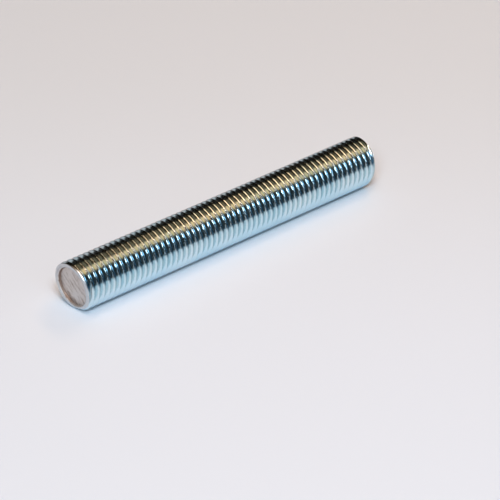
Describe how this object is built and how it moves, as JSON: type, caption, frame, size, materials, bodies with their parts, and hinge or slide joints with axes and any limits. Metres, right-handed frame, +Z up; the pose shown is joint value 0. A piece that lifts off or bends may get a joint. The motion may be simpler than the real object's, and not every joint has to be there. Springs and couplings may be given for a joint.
{
  "type": "threaded rod",
  "caption": "Short metric threaded rod of bright zinc-plated steel, screwed along its whole length, with a lipped, cupped front end and a chamfered back end, for joining parts with nuts.",
  "frame": {"origin": "under the middle of the rod, on the surface it lies on", "axes": "+X along the rod from the cupped front end to the chamfered back end, +Z up, +Y across the rod"},
  "size_m": [0.118, 0.016, 0.016],
  "materials": {
    "zinc_plate": "bright zinc plate with a faint blue passivation, glossy"
  },
  "bodies": {
    "root": {"threaded_rod": "zinc_plate"}
  },
  "joints": []
}
